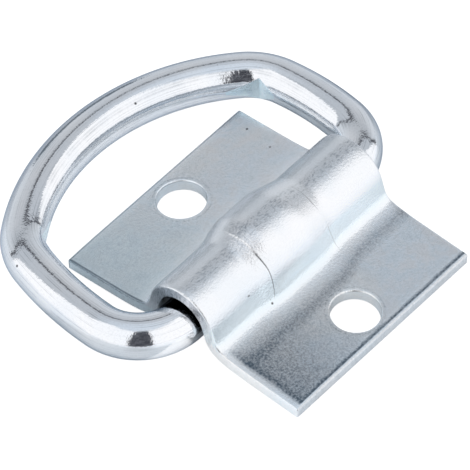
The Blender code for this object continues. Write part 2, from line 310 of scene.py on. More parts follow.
def chord(heading, turn):
    """What a bend of radius 1 adds to the place of a bar that goes in this direction, both as
    complex numbers, and the direction that it leaves in."""
    leaving = heading * complex(math.cos(turn), -math.sin(turn))
    return -1j * (heading - leaving), leaving


def closing_sizes(sizes, end_bend, shoulder):
    """Turn and radius of the bow and length of the far leg with which the bar meets itself. The
    place where it ends is linear in both lengths."""
    to_bow = ((sizes.near_end_turn, end_bend), (sizes.leg_bow, sizes.near_leg / sizes.leg_bow),
              (sizes.near_shoulder_turn, shoulder))
    from_bow = ((sizes.far_shoulder_turn, shoulder), (sizes.leg_bow, "leg"),
                (sizes.far_end_turn, end_bend))
    bow_turn = 2.0 * math.pi - sum(turn for turn, _ in to_bow + from_bow)
    heading = -1j
    place = heading * sizes.near_pin
    for turn, radius in (*to_bow, (bow_turn, "bow"), *from_bow):
        step, heading = chord(heading, turn)
        if radius == "bow":
            per_bow_radius = step
        elif radius == "leg":
            per_leg_length = step / sizes.leg_bow
        else:
            place += step * radius
    place += heading * sizes.far_pin
    leg_share = per_leg_length / per_bow_radius
    rest = place / per_bow_radius
    far_leg = -rest.imag / leg_share.imag
    return bow_turn, -rest.real - leg_share.real * far_leg, far_leg


def weld_radius_at(sizes, distance):
    share = math.cos(0.5 * math.pi * min(distance / sizes.weld_half, 1.0)) ** 2
    return sizes.bar_radius + sizes.weld_step * share


def bent_bar(sizes):
    """The closed bar in its own plane, with the weld at the origin, and its two shoulders."""
    end_bend = sizes.end_bend + sizes.bar_radius
    shoulder = sizes.shoulder + sizes.bar_radius
    bow_turn, bow_radius, far_leg = closing_sizes(sizes, end_bend, shoulder)
    bar = RoundBar(weld_radius_at(sizes, 0.0), (0.0, -1.0, 0.0))
    row_step = sizes.weld_half / WELD_ROWS
    for row in range(1, WELD_ROWS + 1):
        bar.straight(row_step, weld_radius_at(sizes, row_step * row))
    bar.straight(sizes.near_pin - sizes.weld_half, sizes.bar_radius)
    bar.bend(end_bend, sizes.near_end_turn)
    bar.bend(sizes.near_leg / sizes.leg_bow, sizes.leg_bow)
    marks = [shoulder_mark(bar, shoulder, sizes.near_shoulder_turn, 1.0)]
    bar.bend(bow_radius, bow_turn)
    marks.append(shoulder_mark(bar, shoulder, sizes.far_shoulder_turn, -1.0))
    bar.bend(far_leg / sizes.leg_bow, sizes.leg_bow)
    bar.bend(end_bend, sizes.far_end_turn)
    bar.straight(sizes.far_pin - sizes.weld_half, sizes.bar_radius)
    for row in reversed(range(WELD_ROWS)):
        bar.straight(row_step, weld_radius_at(sizes, row_step * row))
    clean(bar.mesh)
    return bar.mesh, marks


def shoulder_mark(bar, shoulder, turn, towards_bow):
    """Bends a shoulder and gives its centre, half its turn, the way out to its middle, and the
    way along the bar towards the bow."""
    start = bar.place.copy()
    along = bar.heading.copy()
    centre = bar.bend(shoulder, turn)
    half = Matrix.Rotation(-0.5 * turn, 3, UP)
    outwards = half @ (start - centre).normalized()
    return centre, 0.5 * turn, outwards, half @ along * towards_bow


def mark_cutter(sizes, mark):
    """A wedge across the inside of a shoulder, whose faces run out on the bar's inner line."""
    centre, half_turn, outwards, towards_bow = mark
    edge = centre + outwards * (sizes.shoulder + sizes.mark_depth)

    def run_out(run):
        """A corner past the inner line: round the bend at first, then straight on."""
        straight = max(abs(run) - sizes.shoulder * math.sin(half_turn), 0.0)
        level = math.sqrt(sizes.shoulder ** 2 - (abs(run) - straight) ** 2)
        level -= straight * math.tan(half_turn)
        on_bar = centre + outwards * level + towards_bow * run
        return edge + (on_bar - edge) * (1.0 + CUT_MARGIN / abs(run))

    wedge = bmesh.new()
    half_height = UP * (sizes.bar_radius + CUT_MARGIN)
    corners = (edge, run_out(sizes.mark_long), run_out(-sizes.mark_short))
    base = wedge.faces.new([wedge.verts.new(corner - half_height) for corner in corners])
    pushed = bmesh.ops.extrude_face_region(wedge, geom=[base])
    bmesh.ops.translate(wedge, vec=2.0 * half_height, verts=new_verts(pushed))
    bmesh.ops.recalc_face_normals(wedge, faces=wedge.faces)
    return wedge


def rounded_ramp(share, lead, tail):
    """0 to 1 on a straight line whose ends are rounded over these shares of it."""
    share = min(max(share, 0.0), 1.0)
    slope = 1.0 / (1.0 - 0.5 * (lead + tail))
    if share < lead:
        return 0.5 * slope * share * share / lead
    if share > 1.0 - tail:
        return 1.0 - 0.5 * slope * (1.0 - share) ** 2 / tail
    return slope * (share - 0.5 * lead)


def swelling(place, reach):
    """Share of the swelling at a place along the saddle."""
    start, full, last_full, end = reach
    rising = (place - start) / (full - start)
    falling = (end - place) / (end - last_full)
    return rounded_ramp(min(rising, falling), SWELL_LEAD, SWELL_TAIL)


def facing(turn):
    """Direction in the section, as (x, z), that is turned this far from upright."""
    return Vector((math.sin(turn), math.cos(turn)))


def half_section(sizes, place):
    """Upper line of the plate's right half from the crown to the tip, as (x, z): a round, a
    straight wall on the tangent of the round and the foot, the foot's bend and the flange."""
    bar = ring_sizes()
    slope = math.tan(sizes.slope)
    tip = Vector((sizes.tip_reach, 0.0)) + facing(sizes.slope) * sizes.sheet
    crown_share = swelling(place, CROWN_SWELL)
    widening = bar.weld_step + SWELL_PLAY
    plain_radius = bar.bar_radius + PIN_PLAY + sizes.sheet
    radius = plain_radius + widening * crown_share
    crown_centre = Vector((0.0, pin_height() + SADDLE_RISE + sizes.swell_rise * crown_share))
    foot_end = math.atan(slope + math.tan(sizes.foot_ease))
    foot_x = (plain_radius + SIDE_SHARE * widening * swelling(place, SIDE_SWELL)
              + sizes.foot_radius + FOOT_FLARE)
    ease_x = foot_x - sizes.foot_radius * math.sin(foot_end)

    def flange(x):
        eased = math.tan(sizes.foot_ease) * sizes.ease_run
        return Vector((x, tip.y + (tip.x - x) * slope
                       + eased * math.exp((ease_x - x) / sizes.ease_run)))

    foot_centre = flange(ease_x) + facing(foot_end) * sizes.foot_radius
    between = foot_centre - crown_centre
    across = math.acos((radius + sizes.foot_radius) / between.length)
    wall_angle = math.atan2(between.x, between.y) - across
    line = [crown_centre + facing(wall_angle * step / CROWN_COLUMNS) * radius
            for step in range(CROWN_COLUMNS + 1)]
    foot_turn = (foot_end - wall_angle) / FOOT_COLUMNS
    foot = [foot_centre - facing(wall_angle + foot_turn * step) * sizes.foot_radius
            for step in range(FOOT_COLUMNS + 1)]
    line += [line[-1].lerp(foot[0], step / WALL_COLUMNS) for step in range(1, WALL_COLUMNS)]
    line += foot
    plain_end = tip.x - EDGE_ZONE
    line += [flange(ease_x + (plain_end - ease_x) * step / FLANGE_COLUMNS)
             for step in range(1, FLANGE_COLUMNS)]
    line += [flange(x) for x in spaced(plain_end, tip.x - END_ROW, EDGE_ROW)]
    line += [flange(tip.x - END_ROW), tip]
    return line


def spaced(start, end, step):
    """Places from the start up to, but without, the end, about one step apart."""
    count = math.ceil((end - start) / step)
    return [start + (end - start) * number / count for number in range(count)]


def row_places(sizes):
    """Rows along the saddle, close together at the creases and near the ends."""
    half = sizes.width / 2.0
    stops = [(END_ROW - half, EDGE_ROW), (EDGE_ZONE - half, ROW_STEP)]
    for low, high in CREASE_ZONES:
        stops += [(low, CREASE_ROW), (high, ROW_STEP)]
    stops += [(half - EDGE_ZONE, EDGE_ROW), (half - END_ROW, END_ROW), (half, END_ROW)]
    places = [-half]
    for (start, step), (end, _) in zip(stops, stops[1:]):
        places += spaced(start, end, step)
    return [*places, half]


def folded_sheet(sizes):
    """The plate's upper skin: a flat blank folded over the saddle's sections and mirrored."""
    places = row_places(sizes)
    sections = [half_section(sizes, place) for place in places]
    rows = len(places) - 1
    columns = len(sections[0]) - 1
    blank = bmesh.new()
    bmesh.ops.create_grid(blank, x_segments=columns, y_segments=rows, size=0.5)
    for vert in blank.verts:
        column = round((vert.co.x + 0.5) * columns)
        row = round((vert.co.y + 0.5) * rows)
        point = sections[row][column]
        vert.co = (point.x, places[row], point.y)
    bmesh.ops.mirror(
        blank, geom=blank.verts[:] + blank.edges[:] + blank.faces[:], axis="X",
        merge_dist=MERGE_DISTANCE)
    clean(blank)
    if sum(face.normal.z for face in blank.faces) < 0.0:
        bmesh.ops.reverse_faces(blank, faces=blank.faces)
    return blank


def faded(distance, reach):
    """1 at no distance, falling to 0 at this reach on a parabola."""
    return max(1.0 - distance / reach, 0.0) ** 2


def crease_place(path, turn, past_hook, wave):
    """Where a crease crosses the saddle at this turn, for numbers and for fields."""
    return path[0] + turn * turn * path[1] + past_hook * past_hook * path[2] + wave * CREASE_WAVE


def crease(place, turn, path, step):
    """Height of a crease's step: up towards the middle, fading out on both sides."""
    wave = math.sin(CREASE_WAVES * turn)
    beyond = place - crease_place(path, turn, max(turn - HOOK_START, 0.0), wave)
    towards_middle = math.copysign(beyond, -path[0] * beyond)
    height = math.tanh(towards_middle / CREASE_WIDTH)
    return 0.5 * step * height * math.exp(-abs(beyond) / CREASE_FADE)


def pressed_height(sizes, place):
    """How far pressing, blanking and punching move a place of the upper skin outwards."""
    across = abs(place.x)
    half = sizes.width / 2.0
    edge = min(half - abs(place.y), sizes.tip_reach - across)
    height = -sizes.edge_droop * faded(edge, DROOP_REACH)
    hole_x = sizes.tip_reach - sizes.hole_from_tip
    hole_rim = math.hypot(across - hole_x, place.y) - sizes.hole_radius
    height -= HOLE_DROOP * faded(max(hole_rim, 0.0), HOLE_DROOP_REACH)
    lift = place.z - pin_height()
    on_arch = min(max(lift / ring_sizes().bar_radius + 0.5, 0.0), 1.0)
    turn = math.atan2(place.x, lift)
    for path, share in ((NEAR_CREASE, 1.0), (FAR_CREASE, FAR_CREASE_SHARE)):
        height += on_arch * crease(place.y, turn, path, share * sizes.crease_step)
    height -= (1.0 - on_arch) * sizes.end_droop * faded(half + place.y, END_DROOP_REACH)
    swell = swelling(place.y, CROWN_SWELL) * on_arch
    ripple = RIPPLE + (SWELL_RIPPLE - RIPPLE) * swell
    return height + ripple * noise.noise(place * RIPPLE_SCALE)


def weigh_edges(mesh, sizes):
    """Gives each sheared edge its share of the bevel: all of it above and at the corners."""
    shape = bmesh.new()
    shape.from_mesh(mesh)
    weight = shape.edges.layers.float.new("bevel_weight_edge")
    upper_count = len(shape.verts) // 2
    for edge in shape.edges:
        if edge.calc_face_angle(0.0) > CUT_EDGE_ABOVE:
            lower = all(vert.index >= upper_count for vert in edge.verts)
            edge[weight] = sizes.sheared / sizes.rolled if lower else 1.0
    shape.to_mesh(mesh)
    shape.free()


def hole_punch(sizes, side):
    """A turned punch, whose shoulder rolls the hole's upper rim over."""
    punch = bmesh.new()
    line = [(0.0, CUT_MARGIN), (sizes.hole_radius + sizes.hole_roll, CUT_MARGIN)]
    for step in range(HOLE_ROLL_TURNS + 1):
        turn = 0.5 * math.pi * step / HOLE_ROLL_TURNS
        line.append((sizes.hole_radius + sizes.hole_roll * (1.0 - math.sin(turn)),
                     -PUNCH_SINK - sizes.hole_roll * (1.0 - math.cos(turn))))
    line += [(sizes.hole_radius, -sizes.sheet - CUT_MARGIN), (0.0, -sizes.sheet - CUT_MARGIN)]
    verts = [punch.verts.new((radius, 0.0, height)) for radius, height in line]
    edges = [punch.edges.new(pair) for pair in zip(verts, verts[1:])]
    bmesh.ops.spin(
        punch, geom=verts + edges, cent=(0.0, 0.0, 0.0), axis=UP, angle=2.0 * math.pi,
        steps=HOLE_SIDES, use_merge=True, use_duplicate=False)
    clean(punch)
    reach = sizes.tip_reach - sizes.hole_from_tip * math.cos(sizes.slope)
    tilt = Matrix.Rotation(side * sizes.slope, 4, "Y")
    rise = (sizes.tip_reach - reach) * math.tan(sizes.slope)
    place = Vector((side * reach, 0.0, rise)) + tilt @ UP * sizes.sheet
    bmesh.ops.transform(punch, matrix=Matrix.Translation(place) @ tilt, verts=punch.verts)
    return punch


# Materials

def operator_for(operation):
    """A method that puts a field, and the value that it is used with, through a Math node."""
    def method(self, *others):
        return self.maths(operation, self, *others)
    return method


class Field:
    """An output of a node that can stand in a Python expression."""

    def __init__(self, maker, socket):
        self.maker = maker
        self.socket = socket

    def maths(self, operation, *values):
        node = self.maker.node("ShaderNodeMath", {"operation": operation}, dict(enumerate(values)))
        return Field(self.maker, node.outputs[0])

    __add__ = __radd__ = operator_for("ADD")
    __mul__ = __rmul__ = operator_for("MULTIPLY")
    __sub__ = operator_for("SUBTRACT")
    __truediv__ = operator_for("DIVIDE")
    size = operator_for("ABSOLUTE")
    sine = operator_for("SINE")
    larger = operator_for("MAXIMUM")
    bearing = operator_for("ARCTAN2")

    def __rsub__(self, other):
        return self.maths("SUBTRACT", other, self)

    def clamped(self):
        return self.maths("MINIMUM", self.larger(0.0), 1.0)

    def diagonal(self, other):
        """Length of the diagonal over this and the other."""
        return self.maths("SQRT", self * self + other * other)

    def beside(self, line, width, peak=1.0):
        """The peak on a line, falling straight to 0 at this distance from it."""
        return peak * (1.0 - (self - line).size() / width).clamped()

    def ramp(self, low, high):
        """0 at low, 1 at high, straight between."""
        return ((self - low) / (high - low)).clamped()

    def inside(self, low, high, softness):
        """1 between low and high, falling to 0 over the softness beyond them."""
        above = ((self - low) / softness + 1.0).clamped()
        return above * ((high - self) / softness + 1.0).clamped()

    def span(self, at_zero, at_one):
        """The first value where the field is 0, the second where it is 1."""
        return self * (at_one - at_zero) + at_zero


class NodeMaker:
    """Adds nodes to one node tree."""

    def __init__(self, tree, coordinates):
        self.tree = tree
        self.place = self.node("ShaderNodeTexCoord").outputs[coordinates]

    def node(self, kind, settings=None, values=None):
        """Adds a node. Its settings are set before its sockets get their values or links."""
        node = self.tree.nodes.new(kind)
        for name, value in (settings or {}).items():
            setattr(node, name, value)
        for socket, value in (values or {}).items():
            self.feed(node.inputs[socket], value)
        return node

    def feed(self, socket, value):
        if isinstance(value, Field):
            value = value.socket
        if isinstance(value, bpy.types.NodeSocket):
            self.tree.links.new(value, socket)
        else:
            socket.default_value = value

    def noise(self, scale, detail, roughness, place=None):
        node = self.node(
            "ShaderNodeTexNoise", {"noise_dimensions": "3D"},
            {"Vector": place or self.place, "Scale": scale, "Detail": detail,
             "Roughness": roughness})
        return Field(self, node.outputs["Fac"])

    def parts(self):
        """The three coordinates of a place."""
        node = self.node("ShaderNodeSeparateXYZ", {}, {"Vector": self.place})
        return [Field(self, output) for output in node.outputs]

    def layers(self, tone, *over):
        """Lays colours over the first, each by its share. One is a socket or three numbers."""
        for share, laid in over:
            node = self.node("ShaderNodeMix", {"data_type": "RGBA"}, {"Factor": share})
            for socket, part in ((node.inputs[6], tone), (node.inputs[7], laid)):
                is_socket = isinstance(part, bpy.types.NodeSocket)
                self.feed(socket, part if is_socket else (*part, 1.0))
            tone = node.outputs[2]
        return tone


class MaterialMaker(NodeMaker):
    """One node material under construction."""

    def __init__(self, name):
        self.material = bpy.data.materials.new(name)
        self.material.use_nodes = True
        super().__init__(self.material.node_tree, "Object")
        self.shader = self.tree.nodes["Principled BSDF"]

    def drawn_noise(self, scales):
        """Noise with a scale of its own along each axis."""
        node = self.node(
            "ShaderNodeMapping", {"vector_type": "POINT"}, {"Vector": self.place, "Scale": scales})
        return self.noise(1.0, *DRAWN_DETAIL, place=node.outputs["Vector"])

    def specks(self):
        """A few small round marks, in random places."""
        size = SPECK_SIZE * self.noise(*SPECK_NOISE).ramp(*SPECK_PATCHES)
        cells = self.node(
            "ShaderNodeTexVoronoi", {}, {"Vector": self.place, "Scale": SPECK_CELLS})
        distance = Field(self, cells.outputs["Distance"])
        return (1.0 - distance / (size + SPECK_SMALLEST)).clamped()

    def spot(self, centre, radius):
        """1 inside a ball, 0 outside it, with a short fall between."""
        node = self.node(
            "ShaderNodeVectorMath", {"operation": "DISTANCE"}, {0: self.place, 1: centre})
        return 1.0 - Field(self, node.outputs["Value"]).ramp(0.5 * radius, radius)

    def bump(self, height, distance, under=None):
        node = self.node("ShaderNodeBump", {}, {"Height": height, "Distance": distance})
        if under is not None:
            self.feed(node.inputs["Normal"], under)
        return node.outputs["Normal"]

    def finish(self, **values):
        for socket, value in values.items():
            self.feed(self.shader.inputs[socket.replace("_", " ")], value)
        return self.material


# Noise in the zinc: scale, detail and roughness
BAR_STREAK = (2600.0, 3.0, 0.7)
BAR_CLOUD = (120.0, 3.0, 0.5)
BAR_WEAR = (210.0, 3.0, 0.6)
BAR_GRAIN = (3200.0, 2.0, 0.5)
BAR_PEEL = (900.0, 2.0, 0.5)
PLATE_CLOUD = (90.0, 3.0, 0.5)
PLATE_MOTTLE = (240.0, 4.0, 0.7)
PLATE_GRAIN = (2600.0, 3.0, 0.7)
WARM_CLOUD = (60.0, 2.0, 0.5)
SPECK_NOISE = (300.0, 1.0, 0.5)
DRAWN_DETAIL = (3.0, 0.7)
CROWN_DRAWN = (3400.0, 1300.0, 3400.0)
SHEAR_DRAWN = (2600.0, 2600.0, 500.0)

# Where each noise starts to show and where it is full
CLOUD_EDGES = (0.35, 0.65)
WORN_PATCHES = (0.42, 0.62)
STREAK_LINES = (0.5, 0.36)
BAR_PITS = (0.55, 0.3)
RUST_PATCHES = (0.4, 0.55)
MARK_GRAIN = (0.2, 0.5)
PLATE_SPECKLE = (0.6, 0.35)
BLUE_PATCHES = (0.42, 0.58)
WARM_PATCHES = (0.5, 0.62)
DULL_PATCHES = (0.5, 0.75)
SHEAR_LINES = (0.3, 0.7)
SPECK_PATCHES = (0.55, 0.7)

# Small round marks: cells per metre, share of a cell, and the marks that have a place of their own
SPECK_CELLS = 420.0
SPECK_SIZE = 0.07
SPECK_SMALLEST = 0.0001
PLATE_SPOTS = ((mm(16.24, -12.32, 8.22), 0.24 * MM), (mm(-11.72, 19.58, 2.53), 0.26 * MM),
               (mm(-5.8, 18.75, 2.87), 0.2 * MM), (mm(18.13, -8.53, 4.33), 0.28 * MM),
               (mm(17.78, -8.53, 4.93), 0.2 * MM))
BAR_SPOTS = ((mm(-27.47, 8.62, 7.16), 0.3 * MM), (mm(-18.81, -31.39, 6.6), 0.3 * MM))

# The bar's zinc. The edge tint is what it keeps of the light at a grazing angle, and the
# roughness is even, in clouds and on dull lines.
EDGE_TINT = (0.55, 0.61, 0.68, 1.0)
BAR_DULL = (0.15, 0.9)
BAR_DULL_TONE = 0.45
BAR_PIT_TONE = 0.06
BAR_ROUGHNESS = (0.02, 0.03, 0.06)
PEEL_BUMP = 0.016 * MM
STREAK_BUMP = 0.008 * MM
BAR_BUMP = 0.01 * MM
SPECK_TONE = 0.7

# The line of rust over the far bend: its direction, its place, and where it runs
RUST_ACROSS = Vector((0.795, 0.607, 0.0))
RUST_LINE = mm(22.36, 22.60, 0.15)
RUST_RUN = mm(16.4, 21.4, 0.8)
RUST_TONE = 0.6

# The tool marks' zinc
MARK_ROUGHNESS = (0.2, 0.3)
MARK_BUMP = 0.06 * MM


def zinc_bar():
    """Bright, smooth zinc of the ring's bar, with fine drawing lines along it."""
    colours = finish_colours()
    maker = MaterialMaker("zinc_bar_bright")
    around = maker.node("ShaderNodeAttribute", {"attribute_name": "around"}).outputs["Vector"]
    streak = maker.noise(*BAR_STREAK, place=around)
    cloud = maker.noise(*BAR_CLOUD)
    grain = maker.noise(*BAR_GRAIN)
    worn = maker.noise(*BAR_WEAR).ramp(*WORN_PATCHES)
    darkening = worn.span(*BAR_DULL) * streak.ramp(*STREAK_LINES)
    x, y, _ = maker.parts()
    rust = (x * RUST_ACROSS.x + y * RUST_ACROSS.y).inside(*RUST_LINE)
    rust = rust * (x * RUST_ACROSS.y - y * RUST_ACROSS.x).inside(*RUST_RUN)
    tone = maker.layers(
        colours.bar, (cloud.ramp(*CLOUD_EDGES), colours.bar_shade),
        (BAR_DULL_TONE * darkening + BAR_PIT_TONE * grain.ramp(*BAR_PITS), colours.dull_and_shade),
        (SPECK_TONE * maker.specks(), colours.speck_and_shade),
        *((maker.spot(*spot), colours.speck_and_shade) for spot in BAR_SPOTS),
        (RUST_TONE * rust * grain.ramp(*RUST_PATCHES), colours.rust))
    relief = maker.bump(maker.noise(*BAR_PEEL), PEEL_BUMP, under=maker.bump(streak, STREAK_BUMP))
    even, clouded, dulled = BAR_ROUGHNESS
    return maker.finish(
        Base_Color=tone, Metallic=1.0, Specular_Tint=EDGE_TINT,
        Roughness=even + clouded * cloud + dulled * darkening,
        Normal=maker.bump(grain, BAR_BUMP, under=relief))


def tool_mark():
    """Matt, bluish zinc where the tool has pressed the bar."""
    colours = finish_colours()
    maker = MaterialMaker("zinc_tool_mark")
    grain = maker.noise(*PLATE_GRAIN)
    tone = maker.layers(colours.plate_blue, (grain.ramp(*MARK_GRAIN), colours.mark))
    return maker.finish(
        Base_Color=tone, Metallic=1.0, Roughness=grain.span(*MARK_ROUGHNESS),
        Normal=maker.bump(grain, MARK_BUMP))


# Parts of the plate by height above the bolting surface, and by distance in from its edges
FLANGE_TOP = mm(3.3, 4.0)
FRONT_TOP = mm(2.9, 3.6)
FRONT_SIDE = mm(0.0, 1.0)
TIP_FACE = mm(0.28, 0.16)
END_FACE = mm(0.06, 0.0)
BORE_WALL = mm(5.7, 6.3)
BORE_MOUTH = mm(1.0, 0.2)

# Zones of the saddle by the turn from its crown: from, to and softness
WALL_TURNS = (1.2, 1.6, 0.12)
CROWN_TURNS = (-0.06, 0.16, 0.09)
PRESSED_TURNS = (-0.35, 0.02, 0.1)
PRESSED_RUN = mm(-7.2, -5.6, 0.8)
REAR_TURNS = (-1.3, -0.75, 0.25)
NEAR_FOLD = (0.5, 1.5, 0.12)
FAR_FOLDS = ((0.7, (0.05, 0.45, 0.25)), (0.5, (1.15, 1.6, 0.15)))
FOLD_LINE = mm(0.02, 0.08)

# Colours of the plate: shares of the bluish, warm and pale blue zinc; on the walls the pale blue
# is a painted reflection
BLUE_SHARE = (0.2, 1.0)
WARM_SHARE = 0.4
WALL_REFLECTION_SHARE = 0.45
BACK_PALE_SHARE = 0.6
BACK_PALE_RUN = mm(2.0, -16.0)

# Painted dark reflections on the front flange, as contours and a dark near corner: lines, widths
# and peaks, and what is left of the brightness
WARP = 1.6 * MM
TIP_WARP = 0.3
FOOT_LINE = 13.1 * MM
FOOT_WIDTH = 2.1 * MM
FOOT_SHIFT = 1.7 * MM
FOOT_SHIFT_RUN = mm(4.0, 10.0)
FOOT_BAND = (*mm(12.2, 1.5), 0.6)
NEAR_CONTOUR = mm(2.0, 0.9)
TIP_CONTOUR = (*mm(0.7, 0.5), 1.25)
TIP_RIM = (*mm(0.5, 0.35), 0.28)
NEAR_MARGIN = mm(0.9, 1.6)
TIP_MARGIN = mm(0.35, 0.55)
CORNER_RUN = mm(0.0, -19.0)
CORNER_LIGHT = (1.0, 0.38)
CONTOUR_LIGHT = (1.0, 0.35)
CONTOUR_GRAIN = (0.7, 1.3)

# Darkening of the back flange, the saddle, the holes' rims and the cut faces, partly painted dark
# reflections and shade: lines, widths and peaks, and how dark a zone is where its grain is least
# and most
BACK_DARKENING = 0.12
BACK_DARKENING_RUN = mm(4.0, -20.0)
BACK_NEAR_RIM = (*mm(0.3, 0.3), 0.8)
BACK_TIP_RIM = (*mm(0.25, 0.25), 0.48)
CROWN_DARK_REFLECTION = (0.06, 0.39)
PRESSED_DULL = (0.08, 0.38)
REAR_DARKENING = (0.25, 0.45)
HOLE_RING = (*mm(0.75, 0.25), 0.3)
TIP_FACE_LINES_AND_SHADE = (0.08, 0.28)
END_FACE_DULL = (0.4, 0.12)
SPECKLE_DULL = (0.03, 0.09)
PATCH_DULL = 0.08

# How dark the marks, the painted shade in the creases and the painted shade in the bore are, the
# plate's roughness (even, in clouds and on the flanges) and its relief
PLATE_SPECK_TONE = 0.8
CREASE_SHADE_TONE = 0.85
BORE_TONE = 0.93
PLATE_ROUGHNESS = (0.05, 0.04, 0.17)
FLANGE_RELIEF = (1.0, 0.7)
PLATE_BUMP = 0.08 * MM


class PlateGuide:
    """Fields that tell where a point of the plate lies, and its mottle and grain."""

    def __init__(self, maker):
        sizes = plate_sizes()
        root = saddle_root()
        x, y, z = maker.parts()
        height = z - root.z
        self.maker = maker
        self.across = x - root.x
        self.along = y - root.y
        self.lift = height - pin_height()
        self.turn = self.across.bearing(self.lift)
        self.to_near = self.along + sizes.width / 2.0
        self.to_far = sizes.width / 2.0 - self.along
        self.to_front_tip = sizes.tip_reach - self.across
        self.to_tip = sizes.tip_reach - self.across.size()
        self.flange = 1.0 - height.ramp(*FLANGE_TOP)
        self.arch = 1.0 - self.flange
        front_side = self.across.ramp(*FRONT_SIDE)
        self.front = (1.0 - height.ramp(*FRONT_TOP)) * front_side
        self.back = self.flange * (1.0 - front_side)
        self.tip_face = self.to_front_tip.ramp(*TIP_FACE)
        self.mottle = maker.noise(*PLATE_MOTTLE)
        self.grain = maker.noise(*PLATE_GRAIN)
        self.speckle = self.grain.ramp(*PLATE_SPECKLE)


def plate_tone(at, cloud):
    """Zinc before it is darkened: bluish flanges with warm clouds, a painted pale blue reflection
    on the walls, and pale blue zinc on the back flange towards its near end.
    """
    colours = finish_colours()
    maker = at.maker
    blue = at.flange * (1.0 - at.tip_face) * at.mottle.ramp(*BLUE_PATCHES).span(*BLUE_SHARE)
    warm = at.flange * maker.noise(*WARM_CLOUD).ramp(*WARM_PATCHES)
    # A painted pale blue reflection along the saddle's walls
    wall_reflection = at.arch * at.turn.inside(*WALL_TURNS)
    pale = at.back * at.along.ramp(*BACK_PALE_RUN)
    return maker.layers(
        colours.plate, (cloud.ramp(*CLOUD_EDGES), colours.plate_shade), (blue, colours.plate_blue),
        (WARM_SHARE * warm, colours.plate_warm), (WALL_REFLECTION_SHARE * wall_reflection, colours.mark),
        (BACK_PALE_SHARE * pale, colours.mark))


def front_painted_reflections(at):
    """Painted dark reflections on the front flange: contours at its foot and its edges, and a dark
    near corner.
    """
    warp = (at.mottle - 0.5) * WARP
    foot_line = FOOT_LINE - at.along.ramp(*FOOT_SHIFT_RUN) * FOOT_SHIFT
    foot = (at.across + warp).beside(foot_line, FOOT_WIDTH)
    foot = foot.larger(at.across.beside(*FOOT_BAND))
    edges = (at.to_near + warp).beside(*NEAR_CONTOUR)
    edges = edges.larger((at.to_front_tip - TIP_WARP * warp).beside(*TIP_CONTOUR))
    light = foot.span(*CONTOUR_LIGHT) * edges.span(*CONTOUR_LIGHT)
    light = light * at.along.ramp(*CORNER_RUN).span(*CORNER_LIGHT)
    darkening = (1.0 - light) * at.speckle.span(*CONTOUR_GRAIN)
    darkening = darkening + at.to_front_tip.beside(*TIP_RIM)
    margin = at.to_near.ramp(*NEAR_MARGIN) * at.to_front_tip.ramp(*TIP_MARGIN)
    return at.front * margin * darkening


def back_darkening(at):
    """The back flange, darker towards its near end, with painted dark reflections on its rolled
    edges.
    """
    rim = at.to_near.beside(*BACK_NEAR_RIM).larger(at.to_tip.beside(*BACK_TIP_RIM))
    return at.back * (BACK_DARKENING * at.along.ramp(*BACK_DARKENING_RUN) + rim)


def arch_darkening(at):
    """A painted dark reflection band on the crown, streaked like drawn zinc, the pressed patch
    beside the near crease, and a darker rear side.
    """
    drawn = at.maker.drawn_noise(CROWN_DRAWN).ramp(*STREAK_LINES)
    pressed = at.turn.inside(*PRESSED_TURNS) * at.along.inside(*PRESSED_RUN)
    # Painted dark reflection band on the crown, streaked like drawn zinc
    darkening = at.turn.inside(*CROWN_TURNS) * drawn.span(*CROWN_DARK_REFLECTION)
    darkening = darkening + pressed * at.speckle.span(*PRESSED_DULL)
    darkening = darkening + at.turn.inside(*REAR_TURNS) * at.speckle.span(*REAR_DARKENING)
    return at.arch * darkening


def cut_darkening(at):
    """A darker ring outside each hole's rolled rim, the lines that the shear leaves on the faces
    of the front tip and the near end, and painted shade on the front tip's face."""
    sizes = plate_sizes()
    from_hole = (at.to_tip - sizes.hole_from_tip).diagonal(at.along) - sizes.hole_radius
    lines = at.maker.drawn_noise(SHEAR_DRAWN).ramp(*SHEAR_LINES)
    darkening = from_hole.beside(*HOLE_RING) * at.speckle
    # Painted shade on the front tip's face, darker on the shear lines
    darkening = darkening + at.tip_face * lines.span(*TIP_FACE_LINES_AND_SHADE)
    return darkening + at.to_near.ramp(*END_FACE) * lines * at.flange.span(*END_FACE_DULL)


def crease_line(at, path):
    """1 on a crease's path and 0 a little beside it."""
    wave = (CREASE_WAVES * at.turn).sine()
    middle = crease_place(path, at.turn, (at.turn - HOOK_START).larger(0.0), wave)
    return 1.0 - (at.along - middle).size().ramp(*FOLD_LINE)


def crease_shade_lines(at):
    """Painted shade: thin dark lines where the sheet has folded at the two creases."""
    far_share = 0.0
    for share, turns in FAR_FOLDS:
        far_share = share * at.turn.inside(*turns) + far_share
    near = crease_line(at, NEAR_CREASE) * at.turn.inside(*NEAR_FOLD)
    return at.arch * (near + crease_line(at, FAR_CREASE) * far_share.clamped())


def bore_shade(at):
    """1 inside the saddle, 0 on its outside and at the bore's two ends."""
    within = 1.0 - at.across.diagonal(at.lift).ramp(*BORE_WALL)
    for from_end in (at.to_near, at.to_far):
        within = within * (1.0 - from_end.ramp(*BORE_MOUTH))
    return within


